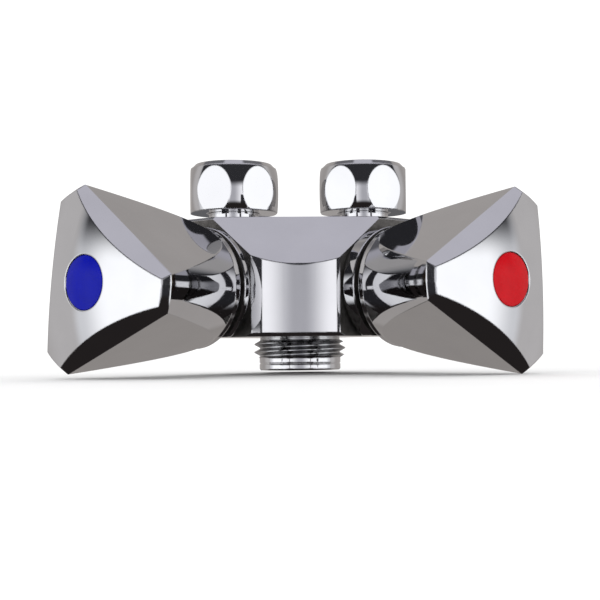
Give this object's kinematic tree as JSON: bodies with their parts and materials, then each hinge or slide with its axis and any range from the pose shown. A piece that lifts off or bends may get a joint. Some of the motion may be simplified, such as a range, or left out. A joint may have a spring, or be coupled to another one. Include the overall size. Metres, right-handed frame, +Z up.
{
  "type": "water heater mixer tap",
  "caption": "Exposed mixer tap for a water heater: two swivel union nuts above, a three-cornered knob on each side and a threaded outlet below.",
  "frame": {"origin": "centre of the lower end of the outlet's thread, on its axis", "axes": "+Z up, -Y towards the user, -X the cold side and +X the hot side"},
  "size_m": [0.0983, 0.0727, 0.0463],
  "materials": {
    "chrome_plate": "polished",
    "bare_brass": "machined",
    "rubber": "matte",
    "fibre": "matte",
    "zinc_steel": "brushed",
    "cold_blue": "gloss",
    "hot_red": "gloss"
  },
  "bodies": {
    "casting": {"body": "chrome_plate", "cold_bonnet": "bare_brass", "cold_bonnet_washer": "fibre", "cold_union_tail": "chrome_plate", "cold_union_washer": "rubber", "hot_bonnet": "bare_brass", "hot_bonnet_washer": "fibre", "hot_union_tail": "chrome_plate", "hot_union_washer": "rubber"},
    "cold_tap": {"cold_handle": "chrome_plate", "cold_index_button": "cold_blue", "cold_handle_screw": "zinc_steel", "cold_spindle": "bare_brass", "cold_circlip": "zinc_steel", "cold_spindle_o_ring": "rubber"},
    "cold_valve_slide": {"cold_valve": "bare_brass", "cold_seat_washer": "rubber", "cold_washer_screw": "bare_brass"},
    "cold_swivel_nut": {"cold_union_nut": "chrome_plate"},
    "hot_tap": {"hot_handle": "chrome_plate", "hot_index_button": "hot_red", "hot_handle_screw": "zinc_steel", "hot_spindle": "bare_brass", "hot_circlip": "zinc_steel", "hot_spindle_o_ring": "rubber"},
    "hot_valve_slide": {"hot_valve": "bare_brass", "hot_seat_washer": "rubber", "hot_washer_screw": "bare_brass"},
    "hot_swivel_nut": {"hot_union_nut": "chrome_plate"}
  },
  "joints": [
    {"name": "cold_knob_turn", "type": "hinge", "parent": "casting", "child": "cold_tap", "pos_m": [-0.0216, -0.02574, 0.015], "axis": [-0.6428, -0.766, 0], "range_deg": [0, 540]},
    {"name": "cold_valve_lift", "type": "slide", "parent": "casting", "child": "cold_valve_slide", "axis": [-0.6428, -0.766, 0], "range_m": [0, 0.003]},
    {"name": "cold_nut_spin", "type": "hinge", "parent": "casting", "child": "cold_swivel_nut", "pos_m": [-0.0144, -0.0112, 0.038], "axis": [0, 0, 1], "continuous": true},
    {"name": "hot_knob_turn", "type": "hinge", "parent": "casting", "child": "hot_tap", "pos_m": [0.0216, -0.02574, 0.015], "axis": [0.6428, -0.766, 0], "range_deg": [0, 540]},
    {"name": "hot_valve_lift", "type": "slide", "parent": "casting", "child": "hot_valve_slide", "axis": [0.6428, -0.766, 0], "range_m": [0, 0.003]},
    {"name": "hot_nut_spin", "type": "hinge", "parent": "casting", "child": "hot_swivel_nut", "pos_m": [0.0144, -0.0112, 0.038], "axis": [0, 0, 1], "continuous": true}
  ],
  "couplings": [
    {"joint": "cold_valve_lift", "follows": "cold_knob_turn", "m_per_rad": 0.00031831},
    {"joint": "hot_valve_lift", "follows": "hot_knob_turn", "m_per_rad": 0.00031831}
  ]
}
